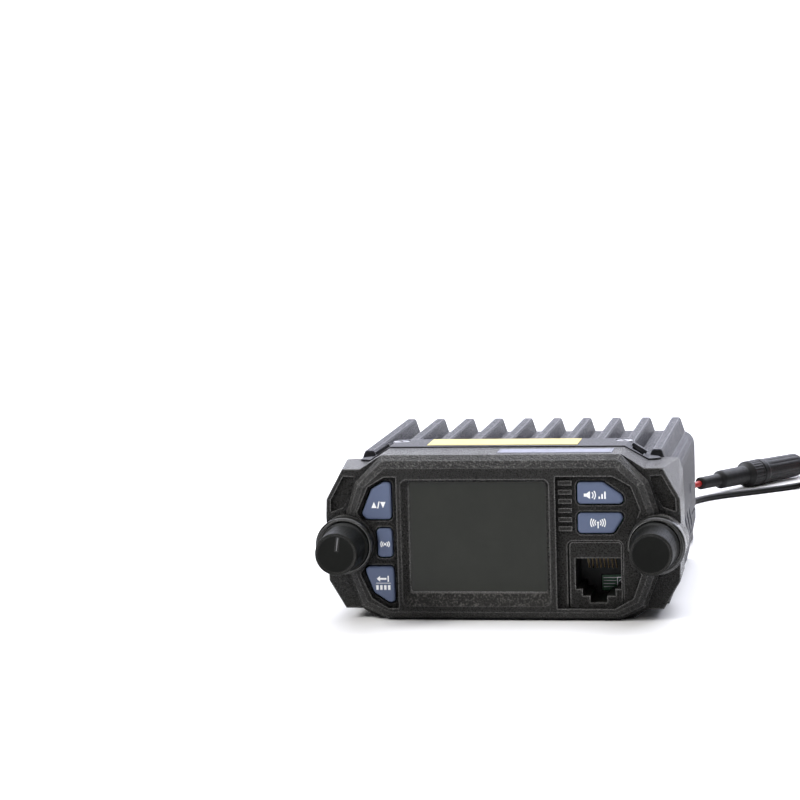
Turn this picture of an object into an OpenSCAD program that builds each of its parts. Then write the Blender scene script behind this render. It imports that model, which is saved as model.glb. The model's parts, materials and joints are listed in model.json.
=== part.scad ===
// Mobile transceiver: a cast, finned case with a moulded control panel, two
// knobs, five keys, a display, and a fused two-wire supply lead.
// +X is to the right of the panel, -Y is the way the panel faces, +Z is up.
// The origin is under the middle of the set, on the surface it stands on.

/* [Case] */
// Width across the two ears of the front panel
ear_w = 93.8; // [92:0.2:96]
// Height of the front panel
panel_h = 43.8; // [43:0.2:46]
// Depth from the face of the panel to the rear edge of the case
case_depth = 98; // [96:1:110]
// Depth of the moulded front shell
shell_depth = 26; // [25:0.5:28]
// Width of the cast body behind the front shell
body_w = 88.8; // [88:0.2:91]
// Height of the deck that the cooling fins stand on
deck_h = 37.8; // [37:0.2:39]
// Wall of the casting
cast_wall = 2.4; // [2:0.2:3]

/* [Cooling fins] */
// Number of fins
fin_count = 10; // [6:1:10]
// Distance from one fin to the next
fin_pitch = 8.68; // [7:0.02:8.8]
// Height of a fin above the deck
fin_h = 4.1; // [2:0.1:5]
// Width of a fin at its root
fin_root = 5.2; // [3.6:0.1:6]
// Width of a fin near its crest
fin_crest = 2.9; // [1.8:0.1:3.2]

/* [Knobs] */
// Distance of each knob's axis from the middle of the panel
knob_x = 40.6; // [40.4:0.1:40.8]
// Height of the knob axes
knob_z = 20.6; // [20:0.2:21]
// How far the knobs stand out from the panel
knob_reach = 17; // [12:0.5:20]
// Radius of a knob behind its skirt
knob_r = 5.9; // [5.6:0.1:6]
// Outer radius of the fixed ring around a knob
collar_r = 7.5; // [7:0.1:7.6]
// Travel of a knob when it is pushed
push_travel = 0.5; // [0.3:0.1:0.6]

/* [Display] */
// Visible width of the display window
view_w = 36; // [30:0.5:36]
// Visible height of the display window
view_h = 28.8; // [24:0.2:28.8]

/* [Keys] */
// Gap around each key
key_gap = 0.4; // [0.3:0.05:0.5]
// Travel of a key when it is pressed
key_travel = 0.8; // [0.5:0.1:0.8]
// How far the keys stand out of the panel's face
key_proud = 0.5; // [0:0.1:1]

/* [Sockets] */
// How far the antenna socket stands out behind the case
socket_reach = 11; // [9:0.5:14]
// Radius of the antenna socket's thread
socket_r = 7.94; // [7:0.02:8]
// Radius of the hole for a 3.5 mm plug
jack_r = 1.8; // [1.78:0.01:1.85]
// Radius of the tapped side holes for a mounting bracket
side_hole_r = 1.65; // [1.6:0.05:1.7]

/* [Supply leads] */
// Diameter of each wire over its insulation
lead_d = 2; // [1.8:0.1:2.2]
// Mean radius of the coils that the spare length is wound into
coil_r = 11; // [10:0.5:12]

/* [Hidden] */
$fn = 48;

// Distances behind the panel's face become Y positions.
face_y = -(case_depth + socket_reach - knob_reach) / 2;
function behind(d) = face_y + d;

// Walls and faces of the front shell
bevel_d = 2.4;      // depth of the bevel around the raised octagonal panel
ear_step = 3.6;     // how far the ears sit behind the panel's face
face_wall = 2.4;    // back of the panel's wall
ear_back = 5.6;     // back of the ears' wall
area_sink = 0.9;    // how far the two control areas are sunk
plate_t = 1.2;      // thickness of the trim over the top
trim_near = 17;     // front edge of the trim
trim_far = 32;      // back edge of the trim
trim_proud = 0.3;   // how far the trim stands above the shell
trim_gap = 0.35;    // gap around the trim
ear_top = 40;       // top of the ears and of the trim's ends
ear_x = ear_w / 2;
side_x = body_w / 2;
top_flat = 31.4;    // half width of the panel's flat top

// Half outlines, from the bottom up, in X and Z
ear_near_half = [[35.5, 2.7], [42.1, 2.8], [ear_x - 0.4, 10.2], [ear_x, 27.5],
                 [ear_x - 0.2, 31.9], [42.3, ear_top - 0.1], [35.5, ear_top - 0.1]];
ear_far_half = [[35.5, 3], [42.6, 3.1], [ear_x - 0.9, 9.6], [ear_x - 0.6, 27.5],
                [ear_x - 0.9, 36.4], [ear_x - 1.9, ear_top - 0.4], [35.5, ear_top - 0.1]];
ear_inner_half = [[30, 2], [41.2, 5.6], [44.2, 11], [44.5, 32.2], [41.2, 38], [36.7, 38],
                  [30.8, 41.6]];
core_half = [[30.6, 0], [34.2, 0.5], [37.5, 2.7], [37.5, ear_top - 0.1], [top_flat, panel_h]];
raised_half = [[30.6, 0], [37.8, 3.6], [41.2, 12.5], [41.8, 20.6], [41.2, 28.7], [38.6, 36.6],
               [top_flat, panel_h]];
face_half = [[29.8, 2.4], [35.7, 5.2], [38.6, 12.8], [39.2, 20.6], [38.6, 28.4], [36.2, 35.4],
             [30.4, 40.5]];
crease_half = [for (i = [0:len(face_half) - 1]) 0.4 * face_half[i] + 0.6 * raised_half[i]];
face_inner_half = [[29.6, 2.2], [36, 5.4], [38.7, 12.8], [39.4, 20.6], [38.7, 28.4], [36, 35.6],
                   [30.4, 41.2]];
case_half = [[42, 1], [side_x, 12], [side_x, deck_h - 4], [side_x - 0.3, deck_h - 2.4],
             [side_x - 1.2, deck_h - 1.1], [side_x - 2.5, deck_h - 0.3], [side_x - 4, deck_h]];
case_inner_half = [[42 - cast_wall, 1], [side_x - cast_wall, 12.3],
                   [side_x - cast_wall, deck_h - 4], [side_x - cast_wall - 0.9, deck_h - 3]];
brow_half = [[side_x - cast_wall, deck_h - 4], [40.5, ear_top - 1.4], [37, ear_top - 1.4],
             [31.1, panel_h - 1.4]];
trim_half = [[40.6, ear_top], [37.5, ear_top], [top_flat, panel_h]];
// Half of the trim seen from above: X and the distance behind the face
trim_plan = [[top_flat, trim_near], [37.4, trim_near + 2.2], [39.7, trim_near + 3.4],
             [40.4, trim_near + 5], [39.9, trim_near + 6.8], [38.6, trim_near + 8.4],
             [36.6, trim_near + 10.2], [top_flat, trim_far]];
board_half = [[29, 2.8], [40.2, 6.8], [43.4, 11.8], [43.6, 31.6], [40.6, 37.2], [36.4, 37.6],
              [30.2, 40.8]];
fins_near = trim_far + 0.3;
outer_fins_near = trim_near + 10.5;
deck_under = deck_h - 3;

// Display window, from the left bottom corner of what shows of it
view_x = -24;
view_z = 7.9;
window_lap = 0.6;
window_near = 1.5;
window_far = 2.9;

// Outlines of the five keys in X and Z, before their corners are rounded
upper_left = [[-28.8, 36.9], [-30.9, 36.9], [-34, 35.1], [-36.8, 28.4], [-35.4, 27],
              [-28.8, 27]];
middle_left = [[-28.8, 24.6], [-33, 24.6], [-32.6, 20.8], [-32.8, 17], [-28.7, 17]];
lower_left = [[-28.6, 14.5], [-36.2, 14.5], [-36, 12.9], [-34, 7.6], [-30, 4.9], [-28.4, 4.9]];
upper_right = [[20.3, 36.7], [27, 36.7], [31.8, 33.4], [32.5, 31.7], [31.4, 31], [20.3, 31]];
lower_right = [[20.3, 28.6], [31.6, 28.6], [32.3, 27.4], [29.6, 23.3], [20.3, 23.3]];
key_centres = [[-31.3, 31.5], [-31, 20.8], [-31, 10.3], [26, 34], [26, 26.2]];
key_corner = 1;     // radius of a key's corners

// Sunk control areas at the panel's face, and the sunk panels in the ears
left_area = [[-27.4, 38.2], [-30.5, 38.2], [-34.9, 35.6], [-37.9, 28.9], [-35.6, 25.3],
             [-37.5, 23], [-37.5, 18], [-35.4, 15.6], [-37.4, 12.4], [-34.4, 6.1], [-30.2, 3.4],
             [-27.4, 3.4]];
right_area = [[14.6, 38.2], [29.5, 38.2], [34.2, 35.6], [36.6, 29.3], [35.2, 26], [37.5, 23],
              [37.5, 18], [35.4, 15.6], [36.7, 12.4], [34.5, 6.1], [29.6, 3.4], [14.6, 3.4]];
ear_inset = [[39.1, 37.8], [42, 38], [ear_x - 1.4, 31.7], [ear_x - 1.3, 28.5], [42.3, 29.7],
             [40, 33.7]];

// Microphone jack: centre, and the opening for an eight-way plug with its catch
mic_x = 25.4;
mic_w = 11.9;
mic_low = 8.5;
mic_top = 16.65;
mic_depth = 15;
mic_comb = mic_x - 3.2; // left side of the first contact
mic_frame = [[17.4, 3], [31.9, 3], [31.9, 21.2], [17.4, 21.2]];
mic_step = 6.7;
mic_floor = 4.9;
mic_outline = [
    [mic_x - mic_w / 2, mic_top], [mic_x - mic_w / 2, mic_low], [mic_x - 4.2, mic_low],
    [mic_x - 4.2, mic_step], [mic_x - 2.2, mic_step], [mic_x - 2.2, mic_floor],
    [mic_x + 2.2, mic_floor], [mic_x + 2.2, mic_step], [mic_x + 4.4, mic_step],
    [mic_x + 4.4, mic_low], [mic_x + mic_w / 2, mic_low], [mic_x + mic_w / 2, mic_top]
];

// Rings round the knobs: middle, how far they stand out, and the knob's skirt inside
collar_x = 41;
collar_reach = 4.6;
collar_seat = -0.2;
skirt_r = 6.4;
rim_r = 5.3;        // radius of the rim around a knob's dished face

// Places on the rear panel
rear_near = case_depth - 3.5;
rear_far = case_depth - 0.5;
socket_x = -24;
socket_neck_r = 7.2;
rear_z = 18.5;
fan_x = 2;
fan_r = 11.2;
fan_near = rear_near - 10.1;
jack_x = 24;
jack_z = 27;

// Grommet in the right rear corner and the two wires that leave it
lead_x = 40.5;
red_z = 21.2;
black_z = 16.9;
grommet_low = 15.2;
grommet_top = 22.9;
grommet_near = case_depth - 16;
grommet_far = case_depth + 1;

// Middle of the loudspeaker, behind the face
speaker_y = 60;

// Screw places: X and the distance behind the face, or X and Z
trim_spots = [[-30.3, 28.6], [30.3, 28.6]];
cover_spots = [[-38.2, 36], [38.2, 36], [-38.2, 90.5], [38.2, 90.5]];
rear_spots = [[-38.2, 12.4], [38.2, 12.4], [-38.2, 30.5], [38.2, 30.5]];
front_spots = [[-37.5, 6.9], [37.5, 6.9], [-37.5, 32], [37.5, 32]];
front_board_spots = [[-30, 39.2], [21, 39.2], [-22, 4.2], [35.4, 11.6]];
main_board_spots = [[-33, 44], [33, 44], [-33, 78], [33, 78]];
bracket_spots = [42, 76];
bracket_z = 24;

// Routes of the free wires: X, distance behind the face, Z
lead_r = lead_d / 2;
red_route = [[lead_x, grommet_far, red_z], [lead_x, 103, red_z], [40.4, 107, 20.2], [40.2, 111, 17.6],
             [39.9, 115, 13.6], [39.5, 119, 9], [39, 123.5, 4.9], [38.3, 129, 2.2],
             [37.4, 136, lead_r], [35.6, 146, lead_r], [33, 158, lead_r], [30.8, 170, lead_r],
             [29.3, 182, lead_r], [28.7, 193, 1.1], [29.7, 202.5, 1.8], [32.4, 210.6, 3],
             [35.4, 215.3, 4.1], [37.8, 218.8, 4.5]];
red_link = [[73.6, 271.9, 4.5], [76.3, 275.9, 3.7], [79.2, 279.5, 2.4], [82.4, 283.1, 1.6],
            [86.2, 286.8, 1.5]];
black_route = [[lead_x, grommet_far, black_z], [lead_x, 103, black_z], [40.6, 107, 15.7],
               [40.8, 111, 12.6], [40.9, 115, 8.6], [40.9, 119, 4.8], [40.8, 123.5, 2.2],
               [40.5, 129, lead_r], [39.8, 138, lead_r], [38.2, 149, lead_r], [36.1, 161, lead_r],
               [34.3, 173, lead_r], [33.7, 184, lead_r], [34.7, 194.5, lead_r], [37.7, 204.5, lead_r],
               [42.6, 212, lead_r], [49, 218.2, lead_r], [56.6, 224.6, lead_r],
               [64.4, 231.6, lead_r], [71, 238, 1.2], [77.4, 244.4, 1.5]];

// Fuse holder on the red wire: where its axis starts, and its radii along that axis
holder_start = [37.8, 218.8, 4.5];
holder_turn = 34;
sleeve_r = 2.1;
barrel_r = 3.1;
ring_r = 4.5;
cap_sleeve_r = 2.6;
fuse_r = 2.5;
fuse_pocket_r = 2.65;

// Coils of spare wire: centre in X and distance behind the face, and the ring's section
red_coil_at = [95.4, 277.6];
black_coil_at = [86.6, 235.2];
coil_half = 3;
coil_low = 0.5;
coil_top = 8.5;
tie_t = 0.5;
tail_drop = [[0, 0, 7.5], [0, -5, 6.9], [0, -10, 5], [0, -15, 3.1], [0, -20, 2.1], [0, -24, 1.9]];
terminal_z = 1.9;

module slab(near, far) {
    translate([0, behind(far), 0]) rotate([90, 0, 0]) linear_extrude(far - near) children();
}
function mirrored(half) = [for (i = [len(half) - 1:-1:0]) [-half[i][0], half[i][1]]];
module both_sides(half) polygon(concat(half, mirrored(half)));
module rod(x, z, near, far, r) {
    translate([x, behind(near), z]) rotate([-90, 0, 0]) cylinder(h = far - near, r = r);
}
module block(x0, x1, near, far, z0, z1) {
    translate([x0, behind(near), z0]) cube([x1 - x0, far - near, z1 - z0]);
}
module turned(x, z, near, profile) {
    translate([x, behind(near), z]) rotate([-90, 0, 0]) rotate_extrude() polygon(profile);
}

// Outlines as lists of points: their direction, an inward shift, and rounded corners
function reversed(o) = [for (i = [len(o) - 1:-1:0]) o[i]];
function area(o) = let (n = len(o))
    [for (i = [0:n - 1]) cross(o[i], o[(i + 1) % n])] * [for (i = [0:n - 1]) 1] / 2;
function anticlockwise(o) = area(o) > 0 ? o : reversed(o);
function unit(v) = v / norm(v);
function inward(a, b) = unit([a[1] - b[1], b[0] - a[0]]);
function inset(o, d) = let (n = len(o))
    [for (i = [0:n - 1])
        let (u = inward(o[(i + n - 1) % n], o[i]), v = inward(o[i], o[(i + 1) % n]))
        o[i] + d * (u + v) / (1 + u * v)];
function softened(o, r, steps = 5) = let (n = len(o), middle = inset(o, r))
    [for (i = [0:n - 1])
        let (u = inward(o[(i + n - 1) % n], o[i]), v = inward(o[i], o[(i + 1) % n]))
        each cross(u, v) > 0
            ? [for (k = [0:steps]) middle[i] - r * unit(u * (steps - k) + v * k)]
            : [o[i]]];

// A closed solid through outlines of as many points each, given as [distance, outline]
module lofted(rings) {
    n = len(rings[0][1]);
    last = len(rings) - 1;
    polyhedron(
        [for (ring = rings, p = ring[1]) [p[0], behind(ring[0]), p[1]]],
        concat([[for (k = [n - 1:-1:0]) k]], [[for (k = [0:n - 1]) last * n + k]],
               [for (i = [0:last - 1], k = [0:n - 1])
                   [i * n + k, i * n + (k + 1) % n, (i + 1) * n + (k + 1) % n, (i + 1) * n + k]]));
}

// The casting: side walls, deck and fins in one piece, open underneath and at both ends
module fin() {
    half = fin_crest / 2;
    polygon([[-fin_root / 2, 0], [-half, fin_h - 0.5], [-half + 0.4, fin_h],
             [half - 0.4, fin_h], [half, fin_h - 0.5], [fin_root / 2, 0]]);
}
module vent_slots(side) {
    for (i = [0:3])
        translate([side * (side_x - 1), behind(54 + i * 8), 14.5])
            rotate([60, 0, 0]) cube([6, 2, 18], center = true);
}
module heat_sink_case() color([0.16, 0.16, 0.17]) {
    difference() {
        union() {
            difference() {
                union() {
                    slab(shell_depth + 0.1, case_depth) both_sides(case_half);
                    slab(shell_depth + 0.1, trim_far + 0.2) both_sides(brow_half);
                }
                slab(shell_depth, case_depth + 1) both_sides(case_inner_half);
            }
            for (i = [0:fin_count - 1])
                slab(i == 0 || i == fin_count - 1 ? outer_fins_near : fins_near, case_depth)
                    translate([(i - (fin_count - 1) / 2) * fin_pitch, deck_h - 0.2]) fin();
            for (side = [-1, 1]) {
                translate([side * 38.4, 0, 0]) {
                    block(-3.7, 3.7, shell_depth + 0.1, 29.5, 1, deck_under + 0.5);
                    block(-3.7, 3.7, 33, 39, 1, 12);
                    block(-3.7, 3.7, 87, rear_near - 0.1, 1, deck_under + 0.5);
                }
                for (d = bracket_spots)
                    translate([side * (side_x - 3.3), behind(d), bracket_z])
                        rotate([0, 90, 0]) cylinder(h = 5, r = 3.2, center = true);
            }
            for (p = main_board_spots)
                translate([p[0], behind(p[1]), 30.3]) cylinder(h = 5, r = 2.6);
        }
        for (side = [-1, 1]) {
            vent_slots(side);
            for (d = bracket_spots)
                translate([side * (side_x - 3), behind(d), bracket_z])
                    rotate([0, 90, 0]) cylinder(h = 10, r = side_hole_r, center = true);
        }
        for (p = trim_spots)
            translate([p[0], behind(p[1]), 35.5]) cylinder(h = 10, r = 1.3);
        for (p = cover_spots)
            translate([p[0], behind(p[1]), 0]) cylinder(h = 9.5, r = 1.35);
        for (p = rear_spots) rod(p[0], p[1], 88, case_depth, 1.35);
        for (p = front_spots) rod(p[0], p[1], 20, 30, 1.45);
        for (p = main_board_spots)
            translate([p[0], behind(p[1]), 29]) cylinder(h = 5, r = 1.1);
        block(34, 50, grommet_near - 0.1, case_depth + 1, grommet_low - 0.1, grommet_top + 0.1);
    }
}

// Rear plate with the fan's grille and the holes for the sockets
module rear_panel() color([0.12, 0.12, 0.13]) difference() {
    slab(rear_near, rear_far) polygon([
        [-39.4, 1.2], [39.4, 1.2], [41.8, 12.3], [41.8, 33.6], [40.9, 34.6], [-40.9, 34.6],
        [-41.8, 33.6], [-41.8, 12.3]]);
    difference() {
        rod(fan_x, rear_z, rear_near - 1, rear_far + 1, fan_r + 0.2);
        rod(fan_x, rear_z, rear_near - 2, rear_far + 2, 4.6);
        for (turn = [45, -45])
            translate([fan_x, behind(rear_near), rear_z])
                rotate([0, turn, 0]) cube([1.6, 12, 30], center = true);
        difference() {
            rod(fan_x, rear_z, rear_near - 2, rear_far + 2, 8.6);
            rod(fan_x, rear_z, rear_near - 3, rear_far + 3, 7.4);
        }
    }
    rod(socket_x, rear_z, rear_near - 1, rear_far + 1, socket_neck_r + 0.1);
    rod(jack_x, jack_z, rear_near - 1, rear_far + 1, 4);
    for (p = rear_spots) rod(p[0], p[1], rear_near - 1, rear_far + 1, 1.45);
    block(35.8, 50, rear_near - 1, rear_far + 1, grommet_low - 0.1, grommet_top + 0.1);
}

module bottom_cover() color([0.13, 0.13, 0.14]) difference() {
    block(-41.8, 41.8, shell_depth + 0.2, case_depth - 0.4, 0, 1);
    for (p = cover_spots) {
        translate([p[0], behind(p[1]), -1]) cylinder(h = 3, r = 1.45);
        translate([p[0], behind(p[1]), -1]) cylinder(h = 1.6, r = 2.4);
    }
    for (i = [-4:4])
        translate([i * 3.2, behind(60), 0])
            cube([1.6, 2 * sqrt(15 * 15 - i * i * 3.2 * 3.2), 6], center = true);
}

// Bent plate that covers the joint between the front shell and the casting
function trim_line(up) = let (half = [for (p = trim_half) p + [0, up]])
    concat(half, mirrored(half));
module trim_from_above(grow) {
    outline = inset(anticlockwise(concat(trim_plan, mirrored(trim_plan))), -grow);
    translate([0, 0, ear_top - 6])
        linear_extrude(12) polygon([for (p = outline) [p[0], behind(p[1])]]);
}
module along_slope(side) {
    translate([side * 34.4, 0, (ear_top + panel_h) / 2])
        rotate([0, side * atan((panel_h - ear_top) / (37.5 - top_flat)), 0]) children();
}
module top_trim() color([0.2, 0.2, 0.21]) difference() {
    union() {
        intersection() {
            slab(trim_near - 1, trim_far + 1)
                polygon(concat(trim_line(trim_proud), reversed(trim_line(-plate_t))));
            trim_from_above(0);
        }
        for (side = [-1, 1]) along_slope(side)
            translate([0, behind(24.6), 0.5]) cube([4.4, 2, 1.2], center = true);
    }
    for (p = trim_spots)
        translate([p[0], behind(p[1]), panel_h - 3]) cylinder(h = 5, r = 1.4);
    for (p = trim_spots)
        translate([p[0], behind(p[1]), panel_h - 0.4]) cylinder(h = 1, r = 2.5);
    for (side = [-1, 1]) along_slope(side)
        translate([0, behind(21.4), 0]) cube([3.4, 4.2, 6], center = true);
}

module label_plate() color([0.93, 0.85, 0.55])
    block(-21.8, 18.6, 19, 31, panel_h + trim_proud, panel_h + trim_proud + 0.15);

module name_plate() color([0.75, 0.76, 0.8])
    block(-1.2, 29, 5.2, 13, panel_h - 0.3, panel_h + 0.1);

// Moulded front shell
module front_shell_body() {
    lofted([for (ring = [[0, face_half], [0.75, crease_half], [bevel_d, raised_half],
                         [ear_step + 0.1, raised_half]])
        [ring[0], anticlockwise(concat(ring[1], mirrored(ring[1])))]]);
    slab(ear_step, shell_depth) both_sides(core_half);
    lofted([[ear_step, ear_near_half], [shell_depth, ear_far_half]]);
    lofted([[ear_step, anticlockwise(mirrored(ear_near_half))],
            [shell_depth, anticlockwise(mirrored(ear_far_half))]]);
    for (side = [-1, 1]) rod(side * collar_x, knob_z, collar_seat, 9, collar_r);
}
module front_shell() color([0.09, 0.09, 0.09]) difference() {
    union() {
        difference() {
            front_shell_body();
            slab(face_wall, shell_depth + 1) both_sides(face_inner_half);
            slab(ear_back, shell_depth + 1) both_sides(ear_inner_half);
            slab(-1, area_sink) {
                polygon(left_area);
                polygon(right_area);
            }
            for (outline = [ear_inset, mirrored(ear_inset)])
                slab(ear_step - 1, ear_step + 0.45) polygon(outline);
        }
        for (side = [-1, 1]) rod(side * collar_x, knob_z, collar_seat, face_wall, collar_r);
        for (i = [0:5])
            slab(area_sink - 0.45, area_sink + 0.5)
                translate([17.1, 36.5 - i * 2.4]) square([3.6, 1.3], center = true);
        for (p = front_spots) rod(p[0], p[1], 14, shell_depth, 3);
        for (side = [-1, 1])
            block(side * 37.5 - 0.8, side * 37.5 + 0.8, 14, shell_depth, 33, 39);
        for (p = front_board_spots) rod(p[0], p[1], face_wall - 0.2, 10.9, 1.6);
    }
    lofted([[-0.02, softened([[-26.3, 3.9], [12.9, 3.9], [12.9, 37.5], [-26.3, 37.5]], 1.6)],
            [window_near + 0.05, softened([[view_x, view_z], [view_x + view_w, view_z],
                [view_x + view_w, view_z + view_h], [view_x, view_z + view_h]], 0.8)]]);
    slab(window_near - 0.02, 6) translate([view_x - window_lap, view_z - window_lap])
        square([view_w + 2 * window_lap, view_h + 2 * window_lap]);
    for (outline = [upper_left, middle_left, lower_left, upper_right, lower_right])
        slab(-2, 6) polygon(softened(inset(anticlockwise(outline), -key_gap), key_corner + key_gap));
    slab(-2, 6) polygon(mic_outline);
    for (side = [-1, 1]) rod(side * knob_x, knob_z, collar_seat - 1, 9, 3.6);
    intersection() {
        slab(trim_near - 1, shell_depth + 1)
            polygon(concat([[42, ear_top + 6], [42, ear_top - plate_t - 0.1]],
                trim_line(-plate_t - 0.1),
                [[-42, ear_top - plate_t - 0.1], [-42, ear_top + 6]]));
        trim_from_above(trim_gap);
    }
    difference() {
        slab(area_sink - 0.1, area_sink + 0.5) polygon(softened(mic_frame, 1.4));
        slab(area_sink - 0.2, area_sink + 0.6)
            polygon(softened([[mic_frame[0][0] + 0.55, 0], [mic_frame[1][0] - 0.25, 0],
                [mic_frame[2][0] - 0.25, mic_frame[2][1] - 0.25],
                [mic_frame[3][0] + 0.55, mic_frame[3][1] - 0.25]], 1));
    }
    block(-1.3, 29.1, 5.1, 13.1, panel_h - 0.3, panel_h + 1);
    for (p = front_spots) rod(p[0], p[1], 16, shell_depth + 1, 1.25);
    for (p = front_board_spots) rod(p[0], p[1], 4, 12, 0.85);
}

// Fixed rings round the knobs, a little thicker outward than inward
module knob_collars() color([0.07, 0.07, 0.07])
    for (side = [-1, 1]) difference() {
        turned(side * collar_x, knob_z, -collar_reach, [
            [0, 0.25], [collar_r - 0.95, 0.25], [collar_r - 0.75, 0], [collar_r - 0.55, 0],
            [collar_r, 0.7], [collar_r, collar_reach + collar_seat],
            [0, collar_reach + collar_seat]]);
        rod(side * knob_x, knob_z, -collar_reach - 1, 1, skirt_r + 0.25);
    }

module display_window() color([0.16, 0.17, 0.15])
    slab(window_near + 0.02, window_far)
        translate([view_x - window_lap + 0.1, view_z - window_lap + 0.1])
            square([view_w + 2 * window_lap - 0.2, view_h + 2 * window_lap - 0.2]);
module display_module() color([0.55, 0.56, 0.55]) block(-26, 14, 3, 7.4, 6, 38.6);
module display_holder() color([0.85, 0.85, 0.82]) difference() {
    block(-25, 13, 7.4, 11, 6.6, 38);
    block(-22.5, 10.5, 7, 12, 9, 35.5);
}

module front_board() color([0.05, 0.3, 0.14]) difference() {
    union() {
        slab(11, 12.6) both_sides(board_half);
        block(-9, 9, 12.6, 14.4, 27.4, 30.4);
    }
    block(mic_x - 8.6, mic_x + 8.6, 10, 14, 0, 20);
    for (p = front_board_spots) rod(p[0], p[1], 10, 14, 1.1);
}

module key_switches() color([0.2, 0.2, 0.2])
    for (c = key_centres) {
        block(c[0] - 2, c[0] + 2, 7.4, 11, c[1] - 2, c[1] + 2);
        rod(c[0], c[1], 6, 7.4, 1.2);
    }

module knob_control(side) {
    difference() {
        union() {
            rod(side * knob_x, knob_z, -1.4, 5.8, 3.5);
            block(side * knob_x - 3.5, side * knob_x + 3.5, 5.8, 10.9, knob_z - 5.5, knob_z + 5.5);
        }
        rod(side * knob_x, knob_z, -2, 9, 3.05);
    }
}
module volume_control() color([0.7, 0.68, 0.6]) knob_control(-1);
module channel_control() color([0.7, 0.68, 0.6]) knob_control(1);

// Microphone jack with its eight sprung contacts
module mic_jack() color([0.05, 0.05, 0.05]) difference() {
    block(mic_x - 7.6, mic_x + 7, face_wall + 0.05, 19, 4.2, 19.6);
    slab(0, mic_depth) polygon(mic_outline);
    block(mic_x - 0.6, mic_x + 5.6, mic_depth - 1, 17, 5.5, 9.9);
    for (i = [0:7])
        block(mic_comb + i * 1.02 - 0.08, mic_comb + i * 1.02 + 0.52, 3.9, mic_depth, 15, 17.6);
}
module mic_jack_contacts() color([0.85, 0.68, 0.3])
    for (i = [0:7])
        translate([mic_comb + i * 1.02, 0, 0]) rotate([90, 0, 90])
            linear_extrude(0.44) polygon([
                [behind(4.1), 17.2], [behind(14.6), 17.2], [behind(14.6), 16.8],
                [behind(5.2), 16.8], [behind(8.3), 13.3], [behind(8), 12.9],
                [behind(4.1), 16.7]]);
module mic_jack_board() color([0.04, 0.36, 0.16])
    block(mic_x - 0.5, mic_x + 5.5, mic_depth + 0.1, 16.6, 5.6, 9.8);

module ribbon_cable() color([0.85, 0.82, 0.75])
    block(-7.5, 7.5, 14.4, 33.8, 28, 28.3);
module main_board() color([0.05, 0.3, 0.14]) difference() {
    union() {
        block(-39, 39, 34, 83, 28.6, 30.2);
        block(-9, 9, 33.8, 37, 26.6, 28.6);
        for (p = [[-18, 70], [-8, 74], [12, 72], [26, 66]])
            translate([p[0], behind(p[1]), 21]) cylinder(h = 7.6, r = 3);
    }
    for (p = main_board_spots)
        translate([p[0], behind(p[1]), 28]) cylinder(h = 4, r = 1.2);
}
module screening_can() color([0.72, 0.73, 0.75]) difference() {
    block(-24, 22, 40, 62, 20, 28.6);
    block(-23.6, 21.6, 40.4, 61.6, 20.4, 29);
}
module power_transistors() color([0.1, 0.1, 0.11])
    for (x = [-14, 6])
        block(x, x + 10, 66, 76, 30.2, deck_under);

// Antenna socket: threaded shell, insulator and centre contact
module antenna_socket() color([0.82, 0.82, 0.84]) difference() {
    union() {
        rod(socket_x, rear_z, case_depth, case_depth + socket_reach, socket_r);
        rod(socket_x, rear_z, rear_near - 0.5, case_depth, socket_neck_r);
        translate([socket_x, behind(rear_near - 3), rear_z])
            rotate([-90, 30, 0]) cylinder(h = 2.9, r = 9.6, $fn = 6);
    }
    rod(socket_x, rear_z, case_depth + 3, case_depth + socket_reach + 1, 6.4);
    rod(socket_x, rear_z, rear_near - 4, case_depth + 4, 4.8);
}
module antenna_insulator() color([0.93, 0.92, 0.88]) difference() {
    union() {
        rod(socket_x, rear_z, rear_near - 2, case_depth + 3, 4.75);
        rod(socket_x, rear_z, case_depth + 3, case_depth + 9, 4.2);
    }
    rod(socket_x, rear_z, rear_near - 3, case_depth + 10, 2.7);
}
module antenna_contact() color([0.9, 0.72, 0.35]) difference() {
    union() {
        rod(socket_x, rear_z, rear_near - 8, rear_near - 2, 1.2);
        rod(socket_x, rear_z, rear_near - 2, case_depth + 9.6, 2.65);
    }
    rod(socket_x, rear_z, case_depth - 2, case_depth + 11, 2);
}

// Loudspeaker facing the slots of the bottom cover
module ringed(profile) {
    translate([0, behind(speaker_y), 0]) rotate_extrude() polygon(profile);
}
module speaker_frame() color([0.3, 0.3, 0.31])
    ringed([[15.5, 1.05], [18, 1.05], [18, 2], [16.6, 2.2], [9, 5.6], [9, 4.8], [15.5, 1.9]]);
module speaker_cone() color([0.08, 0.08, 0.09])
    ringed([[0, 3.2], [4, 2.6], [5, 3.4], [14, 1.3], [15.4, 1.3], [15.4, 1.6], [14, 1.7],
            [5.4, 4.3], [4, 4.6], [0, 4.6]]);
module speaker_magnet() color([0.6, 0.6, 0.62])
    ringed([[0, 5.7], [10, 5.7], [10, 11], [0, 11]]);

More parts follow.
